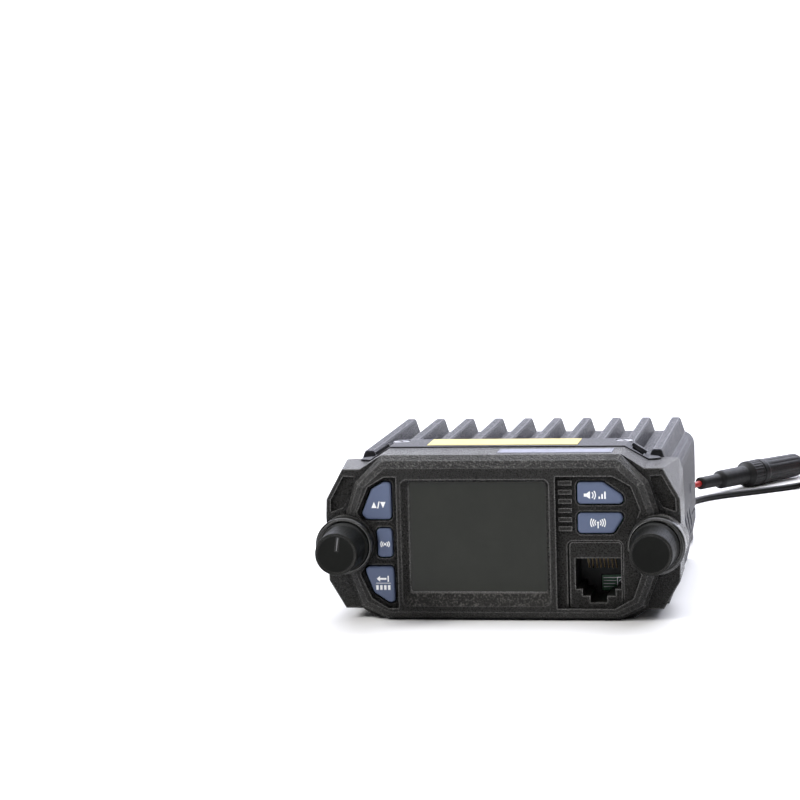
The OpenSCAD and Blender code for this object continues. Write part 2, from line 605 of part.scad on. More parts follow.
// Cooling fan at the rear
module fan_frame() color([0.06, 0.06, 0.06]) difference() {
    union() {
        difference() {
            block(fan_x - 12.5, fan_x + 12.5, fan_near, rear_near - 0.1, rear_z - 12.5, rear_z + 12.5);
            rod(fan_x, rear_z, fan_near - 1, rear_near + 1, fan_r + 0.5);
        }
        rod(fan_x, rear_z, fan_near, fan_near + 2, 5);
        for (turn = [0:120:240])
            translate([fan_x, behind(fan_near), rear_z]) rotate([0, turn + 30, 0])
                translate([4.5, 0, -0.8]) cube([7.6, 1.4, 1.6]);
    }
    rod(fan_x, rear_z, fan_near - 1, fan_near + 4, 0.8);
    for (x = [-10.6, 10.6], z = [-10.6, 10.6])
        rod(fan_x + x, rear_z + z, fan_near - 1, rear_near, 1.2);
}
module fan_rotor() color([0.1, 0.1, 0.11]) {
    rod(fan_x, rear_z, fan_near + 2.4, rear_near - 0.8, 5.4);
    rod(fan_x, rear_z, fan_near + 0.2, fan_near + 3, 0.75);
    for (i = [0:6])
        translate([fan_x, behind(fan_near + 5.8), rear_z])
            rotate([0, i * 360 / 7, 0]) translate([8, 0, 0])
                rotate([38, 0, 0]) cube([6, 0.9, 7.6], center = true);
}

// 3.5 mm jack for an outside loudspeaker
module speaker_jack() color([0.5, 0.5, 0.5]) difference() {
    union() {
        rod(jack_x, jack_z, rear_near - 0.4, case_depth + 1.5, 3.9);
        block(jack_x - 4.4, jack_x + 4.4, rear_near - 11, rear_near - 0.4, jack_z - 4.6, jack_z + 4.6);
    }
    rod(jack_x, jack_z, rear_near - 10, case_depth + 2, jack_r);
}

module lead_grommet() color([0.03, 0.03, 0.03])
    block(36, side_x, grommet_near, grommet_far, grommet_low, grommet_top);

// Screws: a pan or flat head on a plain shank, with a cross recess
module cross_screw(head_r, head_h, shank_r, length) {
    difference() {
        union() {
            cylinder(h = head_h, r = head_r);
            translate([0, 0, -length]) cylinder(h = length + head_h / 4, r = shank_r);
        }
        for (turn = [0, 90])
            translate([0, 0, head_h]) rotate([0, 0, turn + 20])
                cube([head_r * 1.2, head_r * 0.3, head_h * 0.9], center = true);
    }
}
module trim_screws() color([0.1, 0.1, 0.1])
    for (p = trim_spots)
        translate([p[0], behind(p[1]), panel_h - 0.4]) cross_screw(2.2, 0.6, 1.25, 7);
module cover_screws() color([0.1, 0.1, 0.1])
    for (p = cover_spots)
        translate([p[0], behind(p[1]), 0.55]) rotate([180, 0, 0]) cross_screw(2.3, 0.5, 1.3, 8.5);
module rear_screws() color([0.1, 0.1, 0.1])
    for (p = rear_spots)
        translate([p[0], behind(rear_far), p[1]]) rotate([-90, 0, 0])
            cross_screw(2.4, 1.2, 1.3, 9);
module front_screws() color([0.1, 0.1, 0.1])
    for (p = front_spots)
        translate([p[0], behind(29.5), p[1]]) rotate([-90, 0, 0])
            cross_screw(2.3, 1.2, 1.2, 12);
module front_board_screws() color([0.1, 0.1, 0.1])
    for (p = front_board_spots)
        translate([p[0], behind(12.6), p[1]]) rotate([-90, 0, 0])
            cross_screw(1.6, 0.8, 0.8, 7);
module main_board_screws() color([0.1, 0.1, 0.1])
    for (p = main_board_spots)
        translate([p[0], behind(p[1]), 28.6]) rotate([180, 0, 0])
            cross_screw(2.2, 1, 1.05, 5);

// Knobs: each turns on its shaft and pushes its plunger in
module knob_plunger(side) rod(side * knob_x, knob_z, 5.2, 7.6, 1.6);
module volume_plunger() color([0.9, 0.9, 0.9]) knob_plunger(-1);
module channel_plunger() color([0.9, 0.9, 0.9]) knob_plunger(1);
module knob_shaft(side) rod(side * knob_x, knob_z, -12, 5.15, 3);
module volume_shaft() color([0.8, 0.8, 0.82]) knob_shaft(-1);
module channel_shaft() color([0.8, 0.8, 0.82]) knob_shaft(1);
module knob(side) {
    reach = knob_reach;
    turned(side * knob_x, knob_z, -reach, [
        [0, 0.3], [rim_r - 0.5, 0.3], [rim_r - 0.35, 0.06], [rim_r - 0.1, 0],
        [rim_r + 0.15, 0.15], [rim_r + 0.25, 0.6], [knob_r, reach - 6.9],
        [skirt_r - 0.35, reach - 6.5], [skirt_r, reach - 6.1], [skirt_r, reach - 2.2],
        [5, reach - 2.2], [5, reach - 5], [3.02, reach - 5], [3.02, 5], [0, 5]]);
}
module volume_knob() color([0.05, 0.05, 0.05]) difference() {
    knob(-1);
    translate([-knob_x, behind(-knob_reach), knob_z]) rotate([0, 8, 0])
        translate([-0.35, -1, 0.8]) cube([0.7, 1.55, 3.6]);
}
module channel_knob() color([0.05, 0.05, 0.05]) knob(1);

// Keys: a pillowed cap in its window, a lip behind the panel, and a stem to its switch
module key(outline, centre) {
    cap = softened(anticlockwise(outline), key_corner);
    top = area_sink - key_proud;
    lofted([[top, inset(cap, 0.6)], [top + 0.08, inset(cap, 0.3)], [top + 0.25, inset(cap, 0.08)],
            [top + 0.5, cap], [face_wall + 0.9, cap]]);
    slab(face_wall + 0.3, face_wall + 1.1) translate([centre[0], centre[1]])
        square([7.2, 3], center = true);
    rod(centre[0], centre[1], face_wall + 0.8, 5.1, 1.3);
}
module upper_left_key() color([0.36, 0.42, 0.53]) key(upper_left, key_centres[0]);
module middle_left_key() color([0.36, 0.42, 0.53]) key(middle_left, key_centres[1]);
module lower_left_key() color([0.36, 0.42, 0.53]) key(lower_left, key_centres[2]);
module upper_right_key() color([0.36, 0.42, 0.53]) key(upper_right, key_centres[3]);
module lower_right_key() color([0.36, 0.42, 0.53]) key(lower_right, key_centres[4]);

// A round wire swept along its route, with eight sides
function along(route, i) = unit(
    i == 0 ? route[1] - route[0]
    : i == len(route) - 1 ? route[i] - route[i - 1]
    : unit(route[i + 1] - route[i]) + unit(route[i] - route[i - 1]));
module wire(route, r = lead_r, sides = 8) {
    count = len(route);
    placed = [for (p = route) [p[0], behind(p[1]), p[2]]];
    rings = [for (i = [0:count - 1])
        let (t = along(placed, i), across = unit(cross(t, [0, 0, 1])), up = cross(across, t))
        for (k = [0:sides - 1])
            let (a = (k + 0.5) * 360 / sides)
            placed[i] + r * (cos(a) * across + sin(a) * up)];
    walls = [for (i = [0:count - 2], k = [0:sides - 1])
        let (a = i * sides + k, b = i * sides + (k + 1) % sides)
        [a, b, b + sides, a + sides]];
    near_end = [for (k = [sides - 1:-1:0]) k];
    far_end = [for (k = [0:sides - 1]) (count - 1) * sides + k];
    polyhedron(rings, concat(walls, [near_end, far_end]));
}
function tail(at) = [for (p = tail_drop)
    [at[0] + coil_r + 2, at[1] + p[1], p[2]]];
module red_lead() color([0.75, 0.08, 0.06]) {
    wire(red_route);
    wire(red_link);
    wire(tail(red_coil_at));
}
module black_lead() color([0.03, 0.03, 0.03]) {
    wire(black_route);
    wire(tail(black_coil_at));
}
module lead_coil(at) {
    translate([at[0], behind(at[1]), 0]) rotate_extrude()
        translate([coil_r - coil_half, coil_low]) square([2 * coil_half, coil_top - coil_low]);
}
module red_lead_coil() color([0.75, 0.08, 0.06]) lead_coil(red_coil_at);
module black_lead_coil() color([0.03, 0.03, 0.03]) lead_coil(black_coil_at);
module coil_ties() color([0.9, 0.9, 0.88])
    for (at = [red_coil_at, black_coil_at])
        translate([at[0], behind(at[1]), 0]) rotate([0, 0, 250])
            difference() {
                translate([coil_r - coil_half - tie_t, -1.5, 0])
                    cube([2 * (coil_half + tie_t), 3, coil_top + tie_t]);
                translate([coil_r - coil_half, -2, coil_low])
                    cube([2 * coil_half, 4, coil_top - coil_low]);
            }

// Fuse holder: two halves that twist apart, with the fuse between them
module on_holder(profile) {
    translate([holder_start[0], behind(holder_start[1]), holder_start[2]])
        rotate([0, 0, -holder_turn]) rotate([-90, 0, 0]) rotate_extrude() polygon(profile);
}
module fuse_holder_body() color([0.05, 0.05, 0.05])
    on_holder([[0, 0], [sleeve_r, 0], [sleeve_r, 10], [barrel_r - 0.4, 10.4], [barrel_r, 11],
               [barrel_r, 24.4], [ring_r - 0.4, 25.4], [ring_r, 26], [ring_r, 31.4],
               [fuse_pocket_r, 31.4], [fuse_pocket_r, 27.4], [0, 27.4]]);
module fuse_holder_cap() color([0.05, 0.05, 0.05])
    on_holder([[0, 48.6], [fuse_pocket_r, 48.6], [fuse_pocket_r, 31.6], [ring_r, 31.6],
               [ring_r, 34], [ring_r - 0.15, 34.3], [4, 53.6], [3.6, 54.4], [cap_sleeve_r, 54.8],
               [cap_sleeve_r - 0.3, 64], [0, 64]]);
module fuse() color([0.8, 0.8, 0.8])
    on_holder([[0, 27.6], [fuse_r, 27.6], [fuse_r, 48.4], [0, 48.4]]);

// Ring terminals on the free ends
module ring_terminals() color([0.8, 0.8, 0.82])
    for (at = [red_coil_at, black_coil_at]) {
        tip = tail(at)[len(tail_drop) - 1];
        translate([tip[0], behind(tip[1]), tip[2]]) difference() {
            union() {
                rotate([90, 0, 0]) cylinder(h = 6, r = 1.8);
                translate([-1.6, -8, -1.8]) cube([3.2, 3, 0.8]);
                translate([0, -11, -1.8]) cylinder(h = 0.8, r = 4);
            }
            translate([0, -11, -3]) cylinder(h = 4, r = 2.1);
        }
    }

heat_sink_case();
rear_panel();
bottom_cover();
top_trim();
label_plate();
name_plate();
front_shell();
knob_collars();
display_window();
display_module();
display_holder();
front_board();
key_switches();
volume_control();
channel_control();
mic_jack();
mic_jack_contacts();
mic_jack_board();
ribbon_cable();
main_board();
screening_can();
power_transistors();
speaker_frame();
speaker_cone();
speaker_magnet();
antenna_socket();
antenna_insulator();
antenna_contact();
fan_frame();
speaker_jack();
lead_grommet();
trim_screws();
cover_screws();
rear_screws();
front_screws();
front_board_screws();
main_board_screws();
volume_plunger();
volume_shaft();
volume_knob();
channel_plunger();
channel_shaft();
channel_knob();
upper_left_key();
middle_left_key();
lower_left_key();
upper_right_key();
lower_right_key();
fan_rotor();
red_lead();
black_lead();
red_lead_coil();
black_lead_coil();
fuse_holder_body();
fuse_holder_cap();
fuse();
ring_terminals();
coil_ties();
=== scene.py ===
"""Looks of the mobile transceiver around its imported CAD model. All lengths are in metres."""
import json
import math

import bpy
from mathutils import Matrix, Vector

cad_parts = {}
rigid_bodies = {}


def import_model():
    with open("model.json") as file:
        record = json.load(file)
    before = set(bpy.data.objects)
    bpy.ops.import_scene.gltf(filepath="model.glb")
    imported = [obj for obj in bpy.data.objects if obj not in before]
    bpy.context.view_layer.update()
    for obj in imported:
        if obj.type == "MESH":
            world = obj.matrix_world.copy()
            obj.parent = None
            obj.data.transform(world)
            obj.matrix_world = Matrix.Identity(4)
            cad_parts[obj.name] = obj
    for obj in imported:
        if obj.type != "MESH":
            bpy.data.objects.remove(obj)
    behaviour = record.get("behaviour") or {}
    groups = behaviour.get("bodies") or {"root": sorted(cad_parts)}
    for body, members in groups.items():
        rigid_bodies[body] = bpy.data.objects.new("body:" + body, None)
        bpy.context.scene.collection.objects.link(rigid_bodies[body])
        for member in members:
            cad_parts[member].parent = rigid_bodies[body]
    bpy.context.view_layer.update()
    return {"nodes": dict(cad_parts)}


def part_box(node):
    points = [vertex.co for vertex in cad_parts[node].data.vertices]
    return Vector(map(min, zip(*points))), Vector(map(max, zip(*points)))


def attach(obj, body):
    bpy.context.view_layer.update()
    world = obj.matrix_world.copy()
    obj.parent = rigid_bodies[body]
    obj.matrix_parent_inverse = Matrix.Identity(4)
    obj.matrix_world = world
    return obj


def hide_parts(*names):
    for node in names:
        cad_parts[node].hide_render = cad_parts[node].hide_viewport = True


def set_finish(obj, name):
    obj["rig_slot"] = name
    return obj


for leftover in list(bpy.data.objects):
    bpy.data.objects.remove(leftover)
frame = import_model()
MM = 0.001


# Camera, at the place and angle that the object is seen from. Angles are in degrees
CAMERA_LENS = 128.2
CAMERA_PLACE = (0.0997, -0.77466, 0.1423)
CAMERA_TURN = 9.754
CAMERA_DOWN = 6.457
CAMERA_ROLL = -1.584


def make_camera():
    data = bpy.data.cameras.new("camera")
    data.lens = CAMERA_LENS
    data.clip_start = 0.02
    camera = bpy.data.objects.new("camera", data)
    turned = Matrix.Rotation(math.radians(CAMERA_TURN), 4, "Z")
    tipped = Matrix.Rotation(math.radians(90 - CAMERA_DOWN), 4, "X")
    rolled = Matrix.Rotation(math.radians(CAMERA_ROLL), 4, "Z")
    camera.matrix_world = Matrix.Translation(CAMERA_PLACE) @ turned @ tipped @ rolled
    bpy.context.scene.collection.objects.link(camera)
    bpy.context.scene.camera = camera


make_camera()


# Free wires: each is one smooth curve along the route that part.scad holds
LEAD_R = 0.001
COIL_R = 0.011
COIL_HALF = 0.002
COIL_LOW = 0.0015
COIL_TURNS = 8.375
COIL_LAYERS = 4
COIL_START = math.radians(135)
CLIMB_TURNS = 0.12  # the part of a turn in which the wire climbs to the next layer
TURN_POINTS = 16
RED_ROUTE = [
    (0.0405, 0.053, 0.0212), (0.0405, 0.057, 0.0212), (0.0404, 0.061, 0.0202),
    (0.0402, 0.065, 0.0176), (0.0399, 0.069, 0.0136), (0.0395, 0.073, 0.009),
    (0.039, 0.0775, 0.0049), (0.0383, 0.083, 0.0022), (0.0374, 0.09, 0.001),
    (0.0356, 0.1, 0.001), (0.033, 0.112, 0.001), (0.0308, 0.124, 0.001), (0.0293, 0.136, 0.001),
    (0.0287, 0.147, 0.0011), (0.0297, 0.1565, 0.0018), (0.0324, 0.1646, 0.003),
    (0.0354, 0.1693, 0.0041), (0.0378, 0.1728, 0.0045),
]
RED_LINK = [(0.0736, 0.2259, 0.0045), (0.0763, 0.2299, 0.0037), (0.0792, 0.2335, 0.0024),
            (0.0824, 0.2371, 0.0016)]
BLACK_ROUTE = [
    (0.0405, 0.053, 0.0169), (0.0405, 0.057, 0.0169), (0.0406, 0.061, 0.0157),
    (0.0408, 0.065, 0.0126), (0.0409, 0.069, 0.0086), (0.0409, 0.073, 0.0048),
    (0.0408, 0.0775, 0.0022), (0.0405, 0.083, 0.001), (0.0398, 0.092, 0.001),
    (0.0382, 0.103, 0.001), (0.0361, 0.115, 0.001), (0.0343, 0.127, 0.001),
    (0.0337, 0.138, 0.001), (0.0347, 0.1485, 0.001), (0.0377, 0.1585, 0.001),
    (0.0426, 0.166, 0.001), (0.049, 0.1722, 0.001), (0.0566, 0.1786, 0.001),
    (0.0644, 0.1856, 0.001), (0.071, 0.192, 0.0012),
]
RED_COIL = Vector((0.0954, 0.2316, 0))
BLACK_COIL = Vector((0.0866, 0.1892, 0))
TAIL_DROP = [(-0.005, 0.0069), (-0.01, 0.005), (-0.015, 0.0031), (-0.02, 0.0021),
             (-0.024, 0.0019)]


def coil_points(centre):
    """Turns wound inwards and outwards in layers, clockwise from above."""
    count = round(COIL_TURNS * TURN_POINTS)
    per_layer = COIL_TURNS / COIL_LAYERS
    points = []
    for i in range(count + 1):
        turns = i / TURN_POINTS
        layer = min(int(turns / per_layer), COIL_LAYERS - 1)
        within = turns / per_layer - layer
        inward = within if layer % 2 == 0 else 1 - within
        radius = COIL_R + COIL_HALF * (1 - 2 * inward)
        last = layer == COIL_LAYERS - 1
        climb = 1 if last else min(1, (1 - within) * per_layer / CLIMB_TURNS)
        height = COIL_LOW + 2 * LEAD_R * (layer + 1 - climb)
        angle = COIL_START - 2 * math.pi * turns
        points.append(centre + Vector((radius * math.cos(angle), radius * math.sin(angle), height)))
    return points


def tail_points(centre):
    """The last stretch, off the top of the coil and down to its ring terminal: TAIL_DROP holds
    (back, height) points beside the coil."""
    outer = COIL_R + COIL_HALF
    return [centre + Vector((outer, y, z)) for y, z in TAIL_DROP]


def make_wire(name, points):
    """A round wire on a smooth curve through the points, which never dips below its own radius."""
    points = [Vector(point) for point in points]
    data = bpy.data.curves.new(name, "CURVE")
    data.dimensions = "3D"
    data.resolution_u = 6
    data.bevel_depth = 1
    data.bevel_resolution = 5
    data.use_fill_caps = True
    spline = data.splines.new("BEZIER")
    spline.bezier_points.add(len(points) - 1)
    for i, knot in enumerate(spline.bezier_points):
        before, after = points[max(i - 1, 0)], points[min(i + 1, len(points) - 1)]
        along = (after - before).normalized()
        knot.co = points[i]
        knot.radius = LEAD_R
        knot.handle_left_type = knot.handle_right_type = "FREE"
        knot.handle_left = points[i] - along * (points[i] - before).length / 3
        knot.handle_right = points[i] + along * (after - points[i]).length / 3
        for handle in (knot.handle_left, knot.handle_right):
            handle.z = max(handle.z, LEAD_R)
    wire = bpy.data.objects.new(name, data)
    bpy.context.scene.collection.objects.link(wire)
    return wire


red_near = make_wire("red_wire_to_fuse", RED_ROUTE)
red_far = make_wire("red_wire_from_fuse", RED_LINK + coil_points(RED_COIL) + tail_points(RED_COIL))
black_wire = make_wire("black_wire",
                       BLACK_ROUTE + coil_points(BLACK_COIL) + tail_points(BLACK_COIL))
for wire in (red_near, red_far, black_wire):
    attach(wire, "case")
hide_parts("red_lead")
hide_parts("red_lead_coil")
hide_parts("black_lead", "black_lead_coil")


def declare_cords():
    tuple(RED_ROUTE[0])
    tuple(RED_LINK[0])
    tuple(BLACK_ROUTE[0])


# Shapes that several pieces are built from
ARC_STEPS = 10


def add_piece(name, points, faces, body, slot, smooth=True):
    """A mesh piece from points and faces that rides on a body and takes its finish from a slot."""
    data = bpy.data.meshes.new(name)
    data.from_pydata([tuple(point) for point in points], [], faces)
    data.validate()
    for face in data.polygons:
        face.use_smooth = smooth
    made = bpy.data.objects.new(name, data)
    bpy.context.scene.collection.objects.link(made)
    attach(made, body)
    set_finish(made, slot)
    return made


def soften(node, width):
    """Rounds the sharp edges of a CAD node by width, without touching its mesh."""
    weld = node.modifiers.new("weld", "WELD")
    weld.merge_threshold = 0.000002
    flat = node.modifiers.new("flat", "DECIMATE")
    flat.decimate_type = "DISSOLVE"
    flat.angle_limit = math.radians(0.6)
    edges = node.modifiers.new("edges", "BEVEL")
    edges.width = width
    edges.segments = 2
    edges.limit_method = "ANGLE"
    edges.angle_limit = math.radians(28)
    edges.harden_normals = True


def band(base, rows, steps, closed=True):
    """Faces between rows of points from base on. Each row is a ring of steps points, and closed
    joins the last row to the first."""
    faces = []
    for row in range(rows if closed else rows - 1):
        here, there = base + row * steps, base + (row + 1) % rows * steps
        faces += [(here + k, here + (k + 1) % steps, there + (k + 1) % steps, there + k)
                  for k in range(steps)]
    return faces


def revolve(profile, steps, place, ripple=None):
    """A closed band of rings: profile is (along, radius) points, and ripple(along, angle, row)
    adds to a radius. place maps (along, across, up) to a point."""
    points = []
    for row, (along, radius) in enumerate(profile):
        for k in range(steps):
            angle = 2 * math.pi * k / steps
            reach = radius + (ripple(along, angle, row) if ripple else 0)
            points.append(place(along, reach * math.cos(angle), reach * math.sin(angle)))
    return points, band(0, len(profile), steps)


def slabs(outlines, place, thickness):
    """Thin raised shapes: each outline is a list of (x, z), extruded from place by thickness."""
    points, faces = [], []
    for outline in outlines:
        base, n = len(points), len(outline)
        points += [place(x, z, depth) for depth in (0, thickness) for x, z in outline]
        faces.append(tuple(base + k for k in range(n)))
        faces.append(tuple(base + n + k for k in reversed(range(n))))
        faces += [(base + k, base + n + k, base + n + (k + 1) % n, base + (k + 1) % n)
                  for k in range(n)]
    return points, faces


def arc_band(x, z, inner, outer, start, end):
    """Outline of part of a ring between two angles in degrees."""
    angles = [math.radians(start + (end - start) * k / ARC_STEPS) for k in range(ARC_STEPS + 1)]
    return ([(x + outer * math.cos(t), z + outer * math.sin(t)) for t in angles]
            + [(x + inner * math.cos(t), z + inner * math.sin(t)) for t in reversed(angles)])


def bar(x0, z0, x1, z1):
    return [(x0, z0), (x1, z0), (x1, z1), (x0, z1)]


def disc(x, z, radius, steps=20):
    return [(x + radius * math.cos(2 * math.pi * k / steps),
             z + radius * math.sin(2 * math.pi * k / steps)) for k in range(steps)]


# Legends on the keys: generic signs in place of words. Each has its middle as a share of its
# key's width and height, then its shapes in mm from there
LEGENDS = {
    "upper_left_key": ((0.5, 0.39), [
        [(-1.9, -0.8), (-0.5, -0.8), (-1.2, 0.8)],
        [(-0.35, -0.9), (-0.05, -0.9), (0.35, 0.9), (0.05, 0.9)],
        [(0.5, 0.8), (1.9, 0.8), (1.2, -0.8)]]),
    "middle_left_key": ((0.545, 0.45), [
        disc(0, 0, 0.33),
        arc_band(0, 0, 0.54, 0.81, -52, 52), arc_band(0, 0, 0.54, 0.81, 128, 232),
        arc_band(0, 0, 1.01, 1.27, -40, 40), arc_band(0, 0, 1.01, 1.27, 140, 220)]),
    "lower_left_key": ((0.53, 0.54), [
        [(-1.7, 1.1), (-0.8, 1.9), (-0.8, 1.35), (0.9, 1.35), (0.9, 0.85), (-0.8, 0.85),
         (-0.8, 0.3)],
        bar(1.2, 0.3, 1.55, 1.9), bar(-1.9, -0.12, 2, 0),
        *[bar(-1.9 + 1.05 * i, -1.85, -1.25 + 1.05 * i, -0.6) for i in range(4)]]),
    "upper_right_key": ((0.39, 0.41), [
        [(-2.9, -0.4), (-2.2, -0.4), (-1.3, -1.05), (-1.3, 1.05), (-2.2, 0.4), (-2.9, 0.4)],
        arc_band(-1.5, 0, 0.9, 1.15, -48, 48), arc_band(-1.5, 0, 1.5, 1.75, -42, 42),
        *[bar(0.9 + 0.75 * i, -1, 1.3 + 0.75 * i, -0.4 + 0.65 * i) for i in range(3)]]),
    "lower_right_key": ((0.45, 0.44), [
        bar(-0.14, -1, 0.14, 0.35), disc(0, 0.45, 0.3),
        arc_band(0, 0.45, 0.7, 0.95, -50, 50), arc_band(0, 0.45, 0.7, 0.95, 130, 230),
        arc_band(0, 0.45, 1.25, 1.5, -42, 42), arc_band(0, 0.45, 1.25, 1.5, 138, 222),
        arc_band(0, 0.45, 1.8, 2.05, -34, 34), arc_band(0, 0.45, 1.8, 2.05, 146, 214)]),
}
LEGEND_T = 0.00005
LEGEND_PROUD = 0.00003


def make_legends():
    for key, ((share_x, share_z), shapes) in LEGENDS.items():
        low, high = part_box(key)
        middle = (low[0] + share_x * (high[0] - low[0]), low[2] + share_z * (high[2] - low[2]))

        def place(across, up, depth, middle=middle, face=low[1]):
            return (middle[0] + across * MM, face - LEGEND_PROUD + depth, middle[1] + up * MM)

        points, faces = slabs(shapes, place, LEGEND_T)
        add_piece(key + "_legend", points, faces, key + "_body", "white_plastic", smooth=False)


POINTER_LEAN = math.radians(8)
POINTER_SINK = 0.00034
POINTER_T = 0.00018


def make_pointer():
    """Pale line let into the volume knob's face."""
    knob_low, knob_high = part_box("volume_knob")
    axis_x, axis_z = (knob_low[0] + knob_high[0]) / 2, (knob_low[2] + knob_high[2]) / 2

    def place(across, up, depth):
        x = across * math.cos(POINTER_LEAN) + up * math.sin(POINTER_LEAN)
        z = up * math.cos(POINTER_LEAN) - across * math.sin(POINTER_LEAN)
        return (axis_x + x * MM, knob_low[1] + POINTER_SINK + depth, axis_z + z * MM)

    line = [(-0.13, 0.9), (0.13, 0.9), (0.2, 4.1), (0.14, 4.32), (-0.14, 4.32), (-0.2, 4.1)]
    points, faces = slabs([line], place, POINTER_T)
    add_piece("volume_knob_pointer", points, faces, "volume_knob_body", "magnet_grey",
              smooth=False)


# Antenna socket with its thread, which the CAD model has as a plain cylinder
THREAD_R = 0.00792
THREAD_DEPTH = 0.00062
THREAD_PITCH = 0.00106
THREAD_ROWS = 80
NUT_ROWS = (1, 2)  # the rows of the profile that are pushed out to six flats
THREAD_START = 6


def make_socket():
    low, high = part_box("antenna_socket")
    x, z = (low[0] + high[0]) / 2, (low[2] + high[2]) / 2
    flat, nut_end, end = (high[0] - low[0]) / 2, low[1] + 0.0025, high[1]
    near, mouth = end - 0.011, end - 0.0075
    thread = [(near + 0.0006 + (end - 0.0016 - near) * i / THREAD_ROWS, THREAD_R)
              for i in range(THREAD_ROWS + 1)]
    nut = [(low[1], 0.0048), (low[1], flat), (nut_end, flat), (nut_end, 0.0072)]
    profile = (nut + [(near, 0.0072), (near, 0.0078)] + thread
               + [(end - 0.0004, 0.0074), (end, 0.0071), (end, 0.0066), (end - 0.0003, 0.0064),
                  (mouth, 0.0064), (mouth, 0.0048)])

    def ripple(along, angle, row):
        if row in NUT_ROWS:
            sixth = math.pi / 3
            return flat / math.cos((angle + sixth / 2) % sixth - sixth / 2) - flat
        if not THREAD_START <= row <= THREAD_START + THREAD_ROWS:
            return 0
        phase = (along / THREAD_PITCH + angle / (2 * math.pi)) % 1
        return -THREAD_DEPTH * min(1, abs(2 * phase - 1) * 1.25)

    points, faces = revolve(profile, 72, lambda along, across, up: (x + across, along, z + up),
                            ripple)
    made = add_piece("antenna_socket_threaded", points, faces, "case", "socket_chrome")
    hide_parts("antenna_socket")


# Fuse holder, with its grips
HOLDER_START = Vector((0.0378, 0.1728, 0.0045))
HOLDER_TURN = math.radians(34)


def make_holder(name, node, profile, grip, grooves, depth):
    """One half of the fuse holder: (along, radius) in mm, with lengthwise grooves on its grip."""
    forward = Vector((math.sin(HOLDER_TURN), math.cos(HOLDER_TURN), 0))
    side = Vector((forward.y, -forward.x, 0))

    def place(along, across, up):
        return HOLDER_START + forward * along + side * across + Vector((0, 0, up))

    def ripple(along, angle, row):
        if not grip[0] < along / MM < grip[1]:
            return 0
        return -depth * (0.5 - 0.5 * math.cos(grooves * angle)) ** 3

    outline = [(a * MM, r * MM) for a, r in profile]
    points, faces = revolve(outline, 96, place, ripple)
    made = add_piece(name, points, faces, "case", "holder_plastic")
    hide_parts(node)
    return made


def spread(start, end, count, first, last):
    """Profile points from (start, first) to (end, last)."""
    return [(start + (end - start) * i / count, first + (last - first) * i / count)
            for i in range(count + 1)]


holder_body = make_holder(
    "fuse_holder_front", "fuse_holder_body",
    [(0, 1.02), (0, 1.9), (0.3, 2.1)] + spread(1, 9.6, 20, 2.1, 2.1) + [
        (10, 2.3), (10.4, 2.75), (11, 3.05), (11.4, 3.1)] + spread(12, 24, 10, 3.1, 3.1) + [
        (24.4, 3.15), (25.4, 4.1), (25.8, 4.4)] + spread(26.1, 31, 12, 4.5, 4.5) + [
        (31.2, 4.45), (31.4, 4.3), (31.4, 2.65), (27.4, 2.65), (27.4, 1.02)],
    (26.2, 30.9), 26, 0.0003)
holder_cap = make_holder(
    "fuse_holder_rear", "fuse_holder_cap",
    [(31.6, 2.65), (31.6, 4.3), (31.8, 4.45)] + spread(32, 33.8, 6, 4.5, 4.5) + [
        (34, 4.45), (34.3, 4.3)] + spread(35, 52.6, 24, 4.28, 4) + [
        (53.6, 3.95), (54.2, 3.7), (54.6, 3.1), (54.8, 2.6)] + spread(
            55.2, 63.6, 16, 2.58, 2.32) + [
        (64, 2.1), (64, 1.02), (48.6, 1.02), (48.6, 2.65)],
    (35.4, 52.4), 14, 0.00018)


# Ring terminals and ties on the wound ends
def make_terminal(name, centre):
    """A crimped barrel on the wire's end, a flat neck and a ring that lies on the floor."""
    tip = tail_points(centre)[-1]

    def along_wire(along, across, up):
        return tip + Vector((across, -along, up))

    def crimp(along, angle, row):
        pinch = math.exp(-((along - 0.0032) / 0.0011) ** 2) * 0.0004
        return -pinch * max(0, math.sin(angle)) - pinch * 0.4 * abs(math.cos(angle))

    barrel = [(-0.0002, 0.00105), (-0.0002, 0.0016), (0, 0.00175)] + [
        (0.0002 + 0.0054 * i / 14, 0.00178) for i in range(15)] + [
        (0.0059, 0.0016), (0.0059, 0.00105)]
    points, faces = revolve(barrel, 40, along_wire, crimp)
    eye = tip + Vector((0, -0.011, -0.0018))
    ring = [(0.0021, 0.00012), (0.0022, 0), (0.0038, 0), (0.0039, 0.00012), (0.0039, 0.00068),
            (0.0038, 0.0008), (0.0022, 0.0008), (0.0021, 0.00068)]
    base, steps = len(points), 48
    for radius, height in ring:
        points += [eye + Vector((radius * math.cos(2 * math.pi * k / steps),
                                 radius * math.sin(2 * math.pi * k / steps), height))
                   for k in range(steps)]
    faces += band(base, len(ring), steps)
    neck = [(0.0014, -0.0052, 0.0012), (0.00155, -0.006, 0.0006), (0.0016, -0.0072, 0.00005),
            (0.0018, -0.0082, 0.00002)]
    base = len(points)
    for half, y, low in neck:
        for x, z in ((-half, low), (half, low), (half, low + 0.00076), (-half, low + 0.00076)):
            points.append(tip + Vector((x, y, z - 0.0018)))
    faces += band(base, len(neck), 4, closed=False)
    faces += [(base + 3, base + 2, base + 1, base),
              tuple(base + 4 * len(neck) - 4 + k for k in range(4))]
    made = add_piece(name, points, faces, "case", "terminal_tin")
    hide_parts("ring_terminals")
    return made


